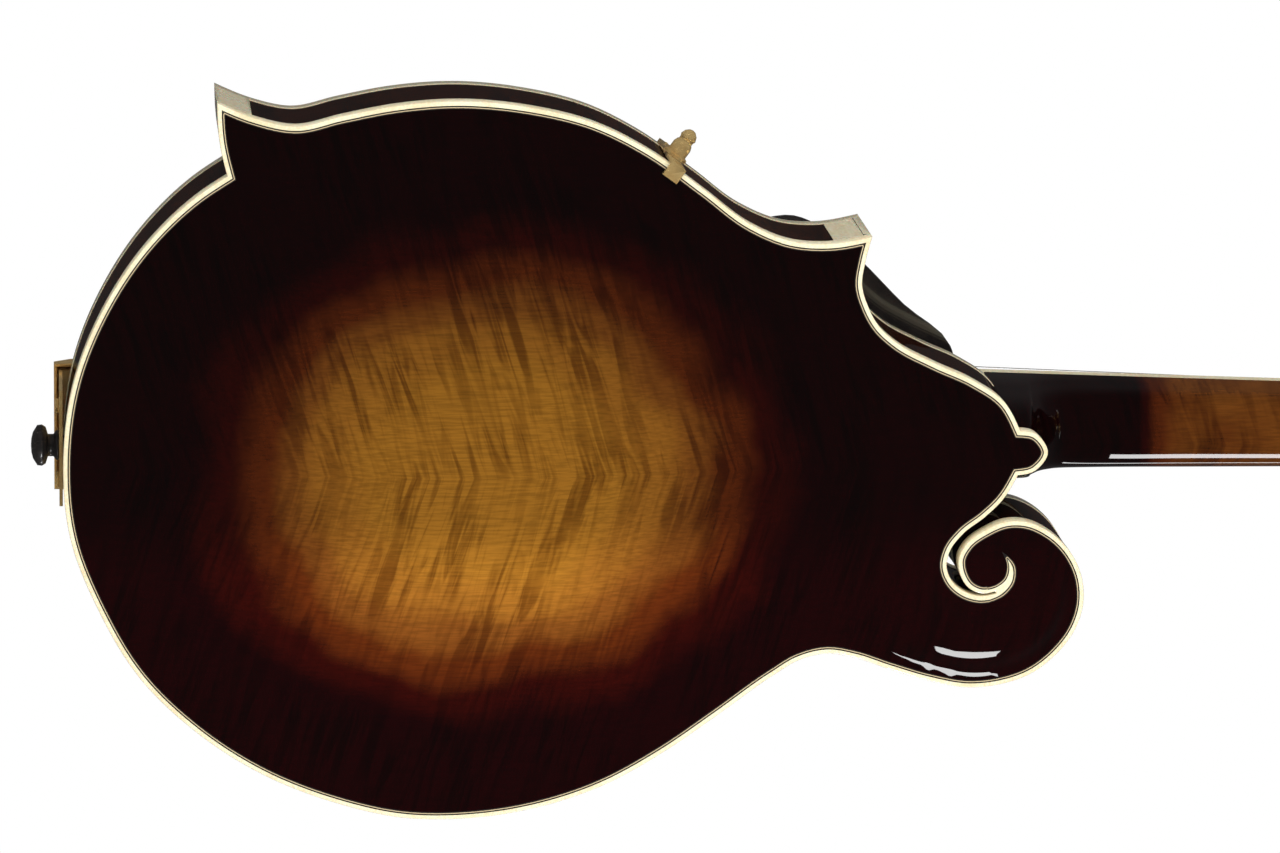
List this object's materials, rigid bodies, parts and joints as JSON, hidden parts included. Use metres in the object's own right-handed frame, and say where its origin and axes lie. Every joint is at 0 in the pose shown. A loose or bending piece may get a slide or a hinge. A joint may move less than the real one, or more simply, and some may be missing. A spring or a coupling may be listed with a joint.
{
  "type": "mandolin",
  "caption": "Eight-string carved mandolin with a scroll body, two pointed corners, sunburst flamed-maple back, ivory binding and gold tuners and tailpiece.",
  "frame": {"origin": "middle of the nut, on the glue line between neck and fingerboard, where a wall hanger's yoke carries the instrument", "axes": "+Z along the body towards the headstock, -Y towards the player's strings (soundboard side), +X towards the treble side with the two points"},
  "size_m": [0.2548, 0.0996, 0.6861],
  "materials": {
    "flamed_maple": "high gloss sunburst lacquer over flamed maple",
    "spruce_top": "high gloss sunburst lacquer over spruce",
    "inner_wood": "bare wood",
    "ivoroid": "aged ivory celluloid under lacquer",
    "purfling": "black and ivory layers",
    "ebony": "polished ebony",
    "gold_plate": "gold plated",
    "gold_tuner": "gold plated, pearl buttons on the keys",
    "brass": "turned brass",
    "black_plate": "polished black laminate",
    "steel_rod": "threaded steel",
    "fret_wire": "polished nickel silver",
    "pearl": "mother of pearl",
    "bone": "polished bone",
    "plain_steel": "plain steel wire",
    "bronze_wound": "phosphor bronze winding"
  },
  "bodies": {
    "instrument": {"back_binding": "ivoroid", "back_plate": "flamed_maple", "back_purfling": "purfling", "bridge_base": "ebony", "bridge_posts": "brass", "end_pin": "ebony", "fingerboard": "ebony", "fingerboard_binding": "ivoroid", "frets": "fret_wire", "head_block": "flamed_maple", "headstock_binding": "ivoroid", "headstock_veneer": "ebony", "neck": "flamed_maple", "nut": "bone", "pearl_inlays": "pearl", "pickguard": "black_plate", "pickguard_bracket": "gold_plate", "pickguard_pins": "brass", "plain_strings": "plain_steel", "point_blocks": "inner_wood", "point_protectors": "ivoroid", "post_bushings": "gold_plate", "rim": "flamed_maple", "rim_linings": "inner_wood", "tail_block": "inner_wood", "tailpiece_base": "gold_plate", "tone_bars": "inner_wood", "top_binding": "ivoroid", "top_plate": "spruce_top", "top_purfling": "purfling", "truss_rod": "steel_rod", "truss_rod_cover": "black_plate", "tuner_plate_bass": "gold_plate", "tuner_plate_treble": "gold_plate", "wood_screws": "gold_plate", "wound_strings": "bronze_wound"},
    "bridge_top": {"bridge_saddle": "ebony"},
    "wheel_bass": {"thumbwheel_bass": "brass"},
    "wheel_treble": {"thumbwheel_treble": "brass"},
    "cover": {"tailpiece_cover": "gold_plate"},
    "rod_nut": {"truss_rod_nut": "brass"},
    "clamp_nut": {"pickguard_clamp_nut": "gold_plate"},
    "post_1": {"tuner_post_1": "gold_tuner"},
    "key_1": {"tuning_key_1": "gold_tuner"},
    "post_2": {"tuner_post_2": "gold_tuner"},
    "key_2": {"tuning_key_2": "gold_tuner"},
    "post_3": {"tuner_post_3": "gold_tuner"},
    "key_3": {"tuning_key_3": "gold_tuner"},
    "post_4": {"tuner_post_4": "gold_tuner"},
    "key_4": {"tuning_key_4": "gold_tuner"},
    "post_5": {"tuner_post_5": "gold_tuner"},
    "key_5": {"tuning_key_5": "gold_tuner"},
    "post_6": {"tuner_post_6": "gold_tuner"},
    "key_6": {"tuning_key_6": "gold_tuner"},
    "post_7": {"tuner_post_7": "gold_tuner"},
    "key_7": {"tuning_key_7": "gold_tuner"},
    "post_8": {"tuner_post_8": "gold_tuner"},
    "key_8": {"tuning_key_8": "gold_tuner"}
  },
  "joints": [
    {"name": "bridge_height", "type": "slide", "parent": "instrument", "child": "bridge_top", "axis": [0, -1, 0], "range_m": [0, 0.0015], "deforming": ["wound_strings", "plain_strings"]},
    {"name": "thumbwheel_bass_turn", "type": "hinge", "parent": "bridge_top", "child": "wheel_bass", "pos_m": [-0.028, -0.0283, -0.3522], "axis": [0, -1, 0], "range_deg": [0, 684.3]},
    {"name": "thumbwheel_treble_turn", "type": "hinge", "parent": "bridge_top", "child": "wheel_treble", "pos_m": [0.028, -0.0283, -0.3522], "axis": [0, -1, 0], "range_deg": [0, 684.3]},
    {"name": "tailpiece_cover_slide", "type": "slide", "parent": "instrument", "child": "cover", "axis": [0, 0, -1], "range_m": [0, 0.045]},
    {"name": "truss_rod_nut_turn", "type": "hinge", "parent": "instrument", "child": "rod_nut", "pos_m": [0, 0.00857, 0.01531], "axis": [0, 0.0872, 0.9962], "range_deg": [-180, 180]},
    {"name": "clamp_nut_turn", "type": "hinge", "parent": "instrument", "child": "clamp_nut", "pos_m": [0.10234, 0.022, -0.31923], "axis": [0.8102, 0, 0.5861], "continuous": true},
    {"name": "key_1_turn", "type": "hinge", "parent": "instrument", "child": "key_1", "pos_m": [-0.021, 0.02664, 0.02465], "axis": [-1, 0, 0], "continuous": true},
    {"name": "post_1_turn", "type": "hinge", "parent": "instrument", "child": "post_1", "pos_m": [-0.021, 0.01093, 0.03712], "axis": [0, -0.9511, 0.309], "continuous": true},
    {"name": "key_2_turn", "type": "hinge", "parent": "instrument", "child": "key_2", "pos_m": [-0.021, 0.03406, 0.04748], "axis": [-1, 0, 0], "continuous": true},
    {"name": "post_2_turn", "type": "hinge", "parent": "instrument", "child": "post_2", "pos_m": [-0.021, 0.01834, 0.05994], "axis": [0, -0.9511, 0.309], "continuous": true},
    {"name": "key_3_turn", "type": "hinge", "parent": "instrument", "child": "key_3", "pos_m": [-0.021, 0.04147, 0.0703], "axis": [-1, 0, 0], "continuous": true},
    {"name": "post_3_turn", "type": "hinge", "parent": "instrument", "child": "post_3", "pos_m": [-0.021, 0.02576, 0.08277], "axis": [0, -0.9511, 0.309], "continuous": true},
    {"name": "key_4_turn", "type": "hinge", "parent": "instrument", "child": "key_4", "pos_m": [-0.021, 0.04889, 0.09313], "axis": [-1, 0, 0], "continuous": true},
    {"name": "post_4_turn", "type": "hinge", "parent": "instrument", "child": "post_4", "pos_m": [-0.021, 0.03317, 0.10559], "axis": [0, -0.9511, 0.309], "continuous": true},
    {"name": "key_5_turn", "type": "hinge", "parent": "instrument", "child": "key_5", "pos_m": [0.021, 0.02664, 0.02465], "axis": [1, 0, 0], "continuous": true},
    {"name": "post_5_turn", "type": "hinge", "parent": "instrument", "child": "post_5", "pos_m": [0.021, 0.01093, 0.03712], "axis": [0, -0.9511, 0.309], "continuous": true},
    {"name": "key_6_turn", "type": "hinge", "parent": "instrument", "child": "key_6", "pos_m": [0.021, 0.03406, 0.04748], "axis": [1, 0, 0], "continuous": true},
    {"name": "post_6_turn", "type": "hinge", "parent": "instrument", "child": "post_6", "pos_m": [0.021, 0.01834, 0.05994], "axis": [0, -0.9511, 0.309], "continuous": true},
    {"name": "key_7_turn", "type": "hinge", "parent": "instrument", "child": "key_7", "pos_m": [0.021, 0.04147, 0.0703], "axis": [1, 0, 0], "continuous": true},
    {"name": "post_7_turn", "type": "hinge", "parent": "instrument", "child": "post_7", "pos_m": [0.021, 0.02576, 0.08277], "axis": [0, -0.9511, 0.309], "continuous": true},
    {"name": "key_8_turn", "type": "hinge", "parent": "instrument", "child": "key_8", "pos_m": [0.021, 0.04889, 0.09313], "axis": [1, 0, 0], "continuous": true},
    {"name": "post_8_turn", "type": "hinge", "parent": "instrument", "child": "post_8", "pos_m": [0.021, 0.03317, 0.10559], "axis": [0, -0.9511, 0.309], "continuous": true}
  ],
  "couplings": [
    {"joint": "thumbwheel_bass_turn", "follows": "bridge_height", "rad_per_m": 7915.8},
    {"joint": "thumbwheel_treble_turn", "follows": "bridge_height", "rad_per_m": 7915.8},
    {"joint": "post_1_turn", "follows": "key_1_turn", "ratio": -0.0625},
    {"joint": "post_2_turn", "follows": "key_2_turn", "ratio": -0.0625},
    {"joint": "post_3_turn", "follows": "key_3_turn", "ratio": -0.0625},
    {"joint": "post_4_turn", "follows": "key_4_turn", "ratio": -0.0625},
    {"joint": "post_5_turn", "follows": "key_5_turn", "ratio": 0.0625},
    {"joint": "post_6_turn", "follows": "key_6_turn", "ratio": 0.0625},
    {"joint": "post_7_turn", "follows": "key_7_turn", "ratio": 0.0625},
    {"joint": "post_8_turn", "follows": "key_8_turn", "ratio": 0.0625}
  ]
}
